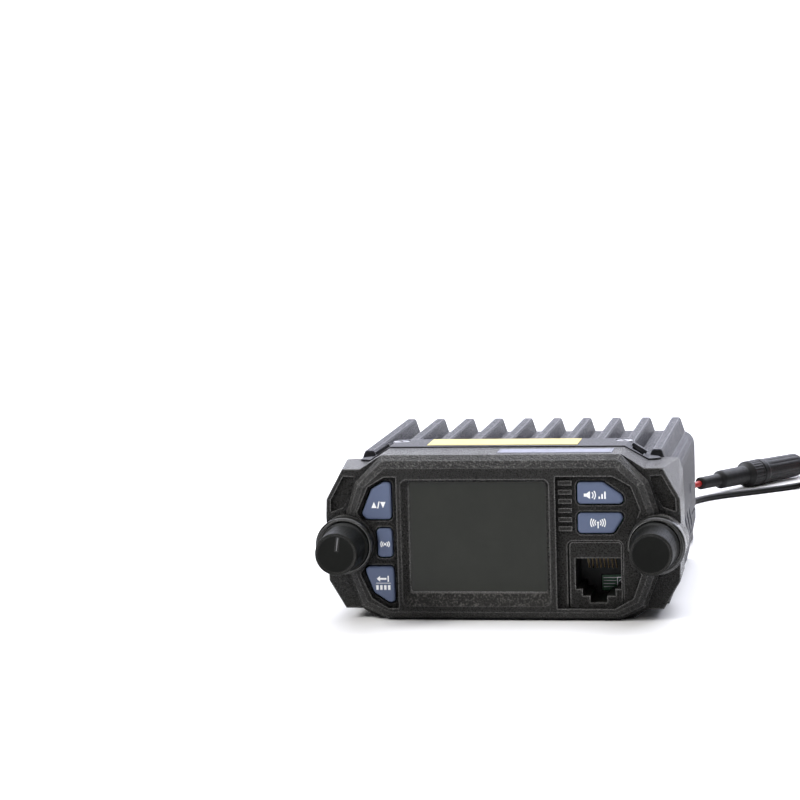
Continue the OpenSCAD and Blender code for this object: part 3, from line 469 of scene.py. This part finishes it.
def make_tie(name, centre):
    """A strap round the coil with its locking head and clipped tail."""
    turn = math.radians(250)
    outward = Vector((math.cos(turn), math.sin(turn), 0))
    sideways = Vector((-math.sin(turn), math.cos(turn), 0))
    low, top, reach, corner = 0.0005, 0.0085, 0.003, 0.0012
    loop = []
    for x, z, start in ((1, 0, -90), (1, 1, 0), (-1, 1, 90), (-1, 0, 180)):
        for k in range(6):
            angle = math.radians(start + 18 * k)
            cx = x * (reach - corner)
            cz = (top - corner) if z else (low + corner)
            loop.append((cx, cz, math.cos(angle), math.sin(angle)))
    section = [(0, -0.00125), (0.0004, -0.00125), (0.00045, -0.001), (0.00045, 0.001),
               (0.0004, 0.00125), (0, 0.00125)]
    points = []
    for cx, cz, nx, nz in loop:
        for out, across in section:
            distance = corner + out
            points.append(centre + outward * (COIL_R + cx + nx * distance)
                          + sideways * across + Vector((0, 0, cz + nz * distance)))
    faces = band(0, len(loop), len(section))
    for x0, x1, half, z0, z1 in ((-0.0018, 0.0016, 0.0019, top + 0.0003, top + 0.0022),
                                 (0.0016, 0.0034, 0.0011, top + 0.0008, top + 0.0015)):
        base = len(points)
        for z, inset in ((z0, 0.0002), (z0 + 0.0002, 0), (z1 - 0.0003, 0), (z1, 0.0003)):
            for x, y in ((x0 + inset, -half + inset), (x1 - inset, -half + inset),
                         (x1 - inset, half - inset), (x0 + inset, half - inset)):
                points.append(centre + outward * (COIL_R + x) + sideways * y + Vector((0, 0, z)))
        faces.append((base + 3, base + 2, base + 1, base))
        faces.append(tuple(base + 12 + k for k in range(4)))
        faces += band(base, 4, 4, closed=False)
    made = add_piece(name, points, faces, "case", "tie_nylon")
    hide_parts("coil_ties")
    return made


terminals = [make_terminal("red_ring_terminal", RED_COIL),
             make_terminal("black_ring_terminal", BLACK_COIL)]
ties = [make_tie("red_coil_tie", RED_COIL), make_tie("black_coil_tie", BLACK_COIL)]


# Small printed and etched details
def make_traces():
    """Copper tracks on the little board behind the microphone jack."""
    low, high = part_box("mic_jack_board")

    def place(across, up, depth):
        return (low[0] + across * MM, low[1] - 0.00004 + depth, low[2] + up * MM)

    tracks = [bar(0.4, 1 + 0.8 * i, 3.2 + 0.3 * i, 1.08 + 0.8 * i) for i in range(4)]
    tracks += [bar(4, 0.8, 4.2, 3.6), bar(4.2, 3.4, 5.2, 3.6), bar(3.2, 0.8, 4, 1)]
    tracks += [disc(4.9, 1.6, 0.32, 16), disc(4.9, 2.6, 0.32, 16)]
    points, faces = slabs(tracks, place, 0.00006)
    add_piece("jack_board_tracks", points, faces, "case", "can_tin", smooth=False)


RULE_PROUD = 0.000006


def make_prints():
    """A plain rule round the cream label and a fine border round the silver plate."""
    for node, slot, margin, width in (("label_plate", "magnet_grey", 0.6, 0.14),
                                      ("name_plate", "switch_black", 0.45, 0.25)):
        low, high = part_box(node)
        across, back = (high[0] - low[0]) / MM, (high[1] - low[1]) / MM

        def place(x, y, depth, low=low, high=high):
            return (low[0] + x * MM, low[1] + y * MM, high[2] + RULE_PROUD - depth)

        rules = [bar(margin, margin, across - margin, margin + width),
                 bar(margin, back - margin - width, across - margin, back - margin),
                 bar(margin, margin, margin + width, back - margin),
                 bar(across - margin - width, margin, across - margin, back - margin)]
        points, faces = slabs(rules, place, 0.00004)
        add_piece(node + "_rule", points, faces, "case", slot, smooth=False)


make_legends()
make_pointer()
make_socket()
make_traces()
make_prints()


# Materials
class Finish:
    """A procedural material: its shader, and short calls for the nodes that feed it."""

    def __init__(self, name, color=None, roughness=None, **sockets):
        self.material = bpy.data.materials.new(name)
        self.material.use_nodes = True
        self.tree = self.material.node_tree
        self.shader = self.tree.nodes["Principled BSDF"]
        self.place = self.node("ShaderNodeTexCoord").outputs["Object"]
        self.normal = None
        if color is not None:
            self.feed("Base Color", color)
        if roughness is not None:
            self.feed("Roughness", roughness)
        for socket, value in sockets.items():
            self.feed(socket.replace("_", " "), value)

    def feed(self, socket, value, node=None):
        target = (node or self.shader).inputs[socket]
        if isinstance(value, bpy.types.NodeSocket):
            self.tree.links.new(value, target)
        elif isinstance(value, tuple) and len(value) == 3 and target.type == "RGBA":
            target.default_value = (*value, 1)
        else:
            target.default_value = value

    def node(self, kind, inputs=(), **settings):
        made = self.tree.nodes.new(kind)
        for name, value in settings.items():
            setattr(made, name, value)
        for socket, value in dict(inputs).items():
            self.feed(socket, value, made)
        return made

    def stretched(self, scale):
        """Texture coordinates scaled along each axis."""
        return self.node("ShaderNodeMapping", {"Vector": self.place, "Scale": scale}).outputs[0]

    def noise(self, scale, detail=2.0, rough=0.5, place=None):
        inputs = {"Vector": place or self.place, "Scale": scale, "Detail": detail,
                  "Roughness": rough}
        return self.node("ShaderNodeTexNoise", inputs).outputs["Fac"]

    def ranged(self, value, low, high, to_low=0.0, to_high=1.0):
        """A value carried from the range low to high into the range to_low to to_high."""
        inputs = {"Value": value, "From Min": low, "From Max": high, "To Min": to_low,
                  "To Max": to_high}
        return self.node("ShaderNodeMapRange", inputs).outputs[0]

    def math(self, operation, a, b):
        return self.node("ShaderNodeMath", {0: a, 1: b}, operation=operation).outputs[0]

    def corners(self, reach, none, full):
        """How deep in an inner corner a point is, 0 to 1."""
        shelter = self.node("ShaderNodeAmbientOcclusion", {"Distance": reach}, samples=6)
        return self.ranged(shelter.outputs["AO"], none, full)

    def edges(self, radius, none, full):
        """How near a fold of the surface a point is, 0 to 1, however flat the fold."""
        rounded = self.node("ShaderNodeBevel", {"Radius": radius}, samples=6).outputs[0]
        flat = self.node("ShaderNodeNewGeometry").outputs["True Normal"]
        turn = self.node("ShaderNodeVectorMath", {0: rounded, 1: flat}, operation="DOT_PRODUCT")
        return self.ranged(turn.outputs["Value"], none, full)

    def facing_up(self, none, full):
        """How far a face looks upward, 0 to 1, for where painted highlight specks go."""
        flat = self.node("ShaderNodeNewGeometry").outputs["True Normal"]
        rise = self.node("ShaderNodeVectorMath", {0: flat, 1: (0, 0, 1)}, operation="DOT_PRODUCT")
        return self.ranged(rise.outputs["Value"], none, full)

    def mixed(self, factor, dark, light):
        mix = self.node("ShaderNodeMix", data_type="RGBA")
        self.feed(0, factor, mix)
        self.feed(6, dark, mix)
        self.feed(7, light, mix)
        return mix.outputs[2]

    def shade(self, factor, dark, light):
        """The base colour, from dark to light by factor."""
        self.feed("Base Color", self.mixed(factor, dark, light))

    def bump(self, height, depth):
        """Adds relief that is depth metres from its lowest to its highest point."""
        inputs = {"Height": height, "Distance": depth, "Strength": 1.0}
        made = self.node("ShaderNodeBump", inputs)
        if self.normal is not None:
            self.feed("Normal", self.normal, made)
        self.normal = made.outputs[0]
        self.feed("Normal", self.normal)


def grained(name, dark, light, size, depth, rough_low, rough_high, gloss=0.5, painted_edge_tone=None,
            painted_glint_color=None):
    """Moulded or cast surface with a pebbled grain of about size metres. Given an edge colour,
    it has painted shade in its inner corners and that colour painted along its edges as a
    highlight. The glint colour is painted on the grain's peaks on faces that look upward, as
    highlight specks."""
    finish = Finish(name, **{"Specular IOR Level": gloss})
    pebbles = finish.noise(1 / size, 1.5, 0.55)
    fine = finish.noise(2.7 / size, 2.0, 0.6)
    height = finish.math("MULTIPLY_ADD", pebbles, 1.6)
    finish.feed(2, fine, height.node)
    color = finish.mixed(finish.ranged(finish.noise(28, 3.0), 0.35, 0.65), dark, light)
    # Painted highlight specks: the glint colour on the grain's peaks where a face looks upward
    if painted_glint_color:
        glint_mask = finish.math("MULTIPLY", finish.ranged(pebbles, 0.5, 0.64),
                           finish.facing_up(0.03, 0.3))
        color = finish.mixed(glint_mask, color, painted_glint_color)
    rough = finish.ranged(pebbles, 0.35, 0.65, rough_high, rough_low)
    if painted_edge_tone:
        # Painted shade: darker in inner corners, found by ambient occlusion
        inner = finish.corners(0.0016, 0.9, 0.45)
        color = finish.mixed(inner, color, tuple(0.15 * part for part in dark))
        edge = finish.edges(0.0006, 0.994, 0.96)
        # Painted highlight: the edge colour along convex edges, away from the painted corner shade
        edge_highlight_mask = finish.math("MULTIPLY", edge, finish.ranged(inner, 0.1, 0, 0, 1))
        finish.shade(finish.math("MULTIPLY", edge_highlight_mask, finish.ranged(fine, 0.25, 0.55)), color, painted_edge_tone)
        rough = finish.math("MULTIPLY", rough, finish.ranged(edge, 0, 1, 1, 0.75))
    else:
        finish.feed("Base Color", color)
    finish.feed("Roughness", rough)
    finish.bump(height, depth)
    return finish


def plain_polymer(name, dark, light, rough, grain=0.00001, gloss=0.5, painted_edge_tone=None):
    """Smooth moulded plastic with faint flow marks and a fine satin grain, and, given an edge
    colour, that colour painted along its edges: a painted highlight where it is lighter than the
    plastic, darker edges where it is darker."""
    finish = Finish(name, **{"Specular IOR Level": gloss})
    flow = finish.noise(90, 3.0)
    color = finish.mixed(finish.ranged(flow, 0.3, 0.7), dark, light)
    if painted_edge_tone:
        # Painted edge colour: a highlight along the edges where it is lighter, darker edges on the
        # keys
        color = finish.mixed(finish.edges(0.0004, 0.994, 0.95), color, painted_edge_tone)
    finish.feed("Base Color", color)
    finish.feed("Roughness", finish.ranged(finish.noise(900, 4.0), 0.3, 0.7, rough - 0.06,
                                           rough + 0.06))
    finish.bump(finish.noise(5000, 2.0), grain)
    return finish


def metal(name, dark, light, rough):
    """Bare metal with fine streaks across it."""
    finish = Finish(name, Metallic=1.0)
    streaks = finish.noise(400, 3.0, place=finish.stretched((1, 8, 1)))
    finish.shade(finish.ranged(streaks, 0.3, 0.7), dark, light)
    finish.feed("Roughness", finish.ranged(finish.noise(1500, 3.0), 0.3, 0.7, rough - 0.07,
                                           rough + 0.1))
    finish.bump(streaks, 0.000006)
    return finish


# What grained, plain_polymer and metal are called with, by material slot. Colours are linear RGB
# In a GRAINED row, an eighth colour is painted along the edges as a highlight, with painted shade
# in the corners, and a ninth is painted on the grain's peaks of upward faces as highlight specks
GRAINED = {
    "shell_plastic": ((0.011, 0.0107, 0.0098), (0.0155, 0.015, 0.0138), 0.00048, 0.0005, 0.22,
                      0.38, 0.36, (0.2, 0.197, 0.193), (0.115, 0.112, 0.106)),
    "cast_metal": ((0.012, 0.012, 0.016), (0.019, 0.019, 0.025), 0.0005, 0.0002, 0.4, 0.56, 0.2,
                   (0.14, 0.14, 0.17), (0.06, 0.06, 0.078)),
    "trim_metal": ((0.013, 0.013, 0.018), (0.02, 0.02, 0.027), 0.00036, 0.00006, 0.5, 0.64, 0.3,
                   (0.1, 0.1, 0.12)),
    "sheet_steel": ((0.018, 0.018, 0.019), (0.03, 0.03, 0.031), 0.0003, 0.00002, 0.4, 0.55),
}
# A sixth colour in a POLYMERS row is painted along the edges: a painted highlight, darker on the
# keys
POLYMERS = {
    "label_cream": ((0.6, 0.5, 0.2), (0.66, 0.56, 0.24), 0.75),
    "collar_plastic": ((0.006, 0.006, 0.005), (0.01, 0.01, 0.009), 0.3, 0.00003, 0.35,
                       (0.1, 0.1, 0.098)),
    "knob_plastic": ((0.0045, 0.0048, 0.0042), (0.0075, 0.008, 0.007), 0.5, 0.00003, 0.08,
                     (0.05, 0.05, 0.048)),
    "key_plastic": ((0.078, 0.104, 0.182), (0.092, 0.12, 0.205), 0.5, 0.00001, 0.5,
                    (0.05, 0.065, 0.11)),
    "window_glass": ((0.012, 0.0135, 0.0095), (0.015, 0.0165, 0.012), 0.16, 0.000002, 0.22),
    "white_plastic": ((0.92, 0.93, 0.92), (0.97, 0.97, 0.97), 0.45),
    "board_green": ((0.003, 0.07, 0.022), (0.006, 0.13, 0.04), 0.4),
    "switch_black": ((0.02, 0.02, 0.02), (0.03, 0.03, 0.03), 0.5),
    "jack_black": ((0.006, 0.006, 0.0055), (0.01, 0.01, 0.0095), 0.45, 0.00001, 0.25),
    "ribbon_film": ((0.6, 0.42, 0.2), (0.72, 0.52, 0.28), 0.35),
    "cone_black": ((0.02, 0.02, 0.021), (0.035, 0.035, 0.036), 0.8),
    "magnet_grey": ((0.09, 0.09, 0.092), (0.14, 0.14, 0.143), 0.6),
    "rubber_black": ((0.01, 0.01, 0.01), (0.018, 0.018, 0.018), 0.65),
    "lead_red": ((0.3, 0.014, 0.012), (0.4, 0.024, 0.02), 0.4),
    "lead_black": ((0.005, 0.005, 0.005), (0.009, 0.009, 0.009), 0.45, 0.00001, 0.15),
    "holder_plastic": ((0.004, 0.004, 0.004), (0.008, 0.008, 0.008), 0.5, 0.00004, 0.2),
    "fuse_glass": ((0.5, 0.55, 0.55), (0.6, 0.65, 0.65), 0.1),
    "tie_nylon": ((0.65, 0.64, 0.6), (0.78, 0.77, 0.73), 0.4),
}
METALS = {
    "silver_plate": ((0.12, 0.125, 0.16), (0.2, 0.205, 0.25), 0.5),
    "display_metal": ((0.5, 0.5, 0.5), (0.62, 0.62, 0.61), 0.35),
    "control_metal": ((0.3, 0.3, 0.29), (0.42, 0.42, 0.4), 0.4),
    "contact_gold": ((0.42, 0.34, 0.2), (0.6, 0.5, 0.32), 0.45),
    "can_tin": ((0.55, 0.56, 0.56), (0.72, 0.73, 0.74), 0.34),
    "speaker_steel": ((0.2, 0.2, 0.21), (0.3, 0.3, 0.31), 0.4),
    "socket_chrome": ((0.62, 0.62, 0.63), (0.8, 0.8, 0.82), 0.2),
    "screw_black": ((0.2, 0.2, 0.21), (0.32, 0.32, 0.34), 0.34),
    "shaft_steel": ((0.55, 0.55, 0.56), (0.7, 0.7, 0.72), 0.25),
    "terminal_tin": ((0.6, 0.6, 0.6), (0.78, 0.78, 0.77), 0.28),
}
FINISHES = {name: kind(name, *values)
            for kind, table in ((grained, GRAINED), (plain_polymer, POLYMERS), (metal, METALS))
            for name, values in table.items()}
# How far the visible edges of each CAD node are rounded
EDGES = {
    "front_shell": 0.00045, "heat_sink_case": 0.00035, "top_trim": 0.00014, "rear_panel": 0.0002,
    "bottom_cover": 0.00015, "knob_collars": 0.00016, "lead_grommet": 0.0007, "mic_jack": 0.00012,
    "volume_knob": 0.0002, "channel_knob": 0.0002, "trim_screws": 0.00008,
    "cover_screws": 0.00008, "rear_screws": 0.0001, "speaker_jack": 0.0001, "fan_frame": 0.0003,
    "fan_rotor": 0.0002, "display_window": 0.0001, "antenna_insulator": 0.0002,
    "name_plate": 0.00005, "mic_jack_contacts": 0.00005,
}


def dress_nodes():
    """Gives every CAD node the finish of its record slot, and rounds the edges that show."""
    for name, node in frame["nodes"].items():
        for holder in node.material_slots:
            holder.material = FINISHES[holder.material.name.split(".")[0]].material
        if name in EDGES:
            soften(node, EDGES[name])


def dress_pieces():
    for thing in bpy.data.objects:
        slot = thing.get("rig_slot")
        if slot:
            thing.data.materials.append(FINISHES[slot].material)


for wire, slot in ((red_near, "lead_red"), (red_far, "lead_red"), (black_wire, "lead_black")):
    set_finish(wire, slot)
dress_nodes()
dress_pieces()


# Floor, backdrop and light
def make_stage():
    floor_data = bpy.data.meshes.new("floor")
    half, depth, rise, bend = 2.2, 1.6, 1.6, 0.5
    profile = [(-2.0, 0.0), (depth - bend, 0.0)]
    for i in range(1, 13):
        angle = math.pi / 2 * i / 12
        profile.append((depth - bend + bend * math.sin(angle), bend - bend * math.cos(angle)))
    profile.append((depth, rise))
    points = [(x, y, z) for y, z in profile for x in (-half, half)]
    faces = [(2 * i, 2 * i + 1, 2 * i + 3, 2 * i + 2) for i in range(len(profile) - 1)]
    floor_data.from_pydata(points, [], faces)
    for face in floor_data.polygons:
        face.use_smooth = True
    floor = bpy.data.objects.new("floor", floor_data)
    bpy.context.scene.collection.objects.link(floor)
    paper = Finish("paper", roughness=0.9)
    paper.shade(paper.noise(6, 2.0), (0.86, 0.86, 0.865), (0.9, 0.9, 0.905))
    floor_data.materials.append(paper.material)


def make_light(name, size, place, target, power, color):
    data = bpy.data.lights.new(name, "AREA")
    data.shape = "RECTANGLE"
    data.size, data.size_y = size
    data.energy = power
    data.color = color
    light = bpy.data.objects.new(name, data)
    light.location = place
    light.rotation_euler = (Vector(target) - Vector(place)).to_track_quat("-Z", "Y").to_euler()
    bpy.context.scene.collection.objects.link(light)


make_stage()
# Each light's name, size, place, the point that it faces, its power in watts and its colour
make_light("softbox_above", (2.2, 1.6), (0.1, 0.6, 1.3), (0, 0.05, 0), 47, (0.93, 0.94, 1))
make_light("softbox_behind", (2.2, 0.9), (0.1, 1.5, 0.75), (0, 0, 0.05), 20, (0.76, 0.79, 1))
make_light("softbox_left", (0.6, 0.6), (-1.1, -0.7, 1.0), (0, 0, 0.02), 18, (1, 0.99, 0.97))
make_light("fill_front", (1.2, 0.8), (0.4, -1.3, 1.3), (0, 0, 0.02), 9, (1, 0.98, 0.95))

world = bpy.data.worlds.new("studio")
world.use_nodes = True
world.node_tree.nodes["Background"].inputs["Color"].default_value = (0.5, 0.5, 0.51, 1)
world.node_tree.nodes["Background"].inputs["Strength"].default_value = 0.2
bpy.context.scene.world = world
bpy.context.scene.view_settings.view_transform = "Standard"

declare_cords()
bpy.context.view_layer.update()
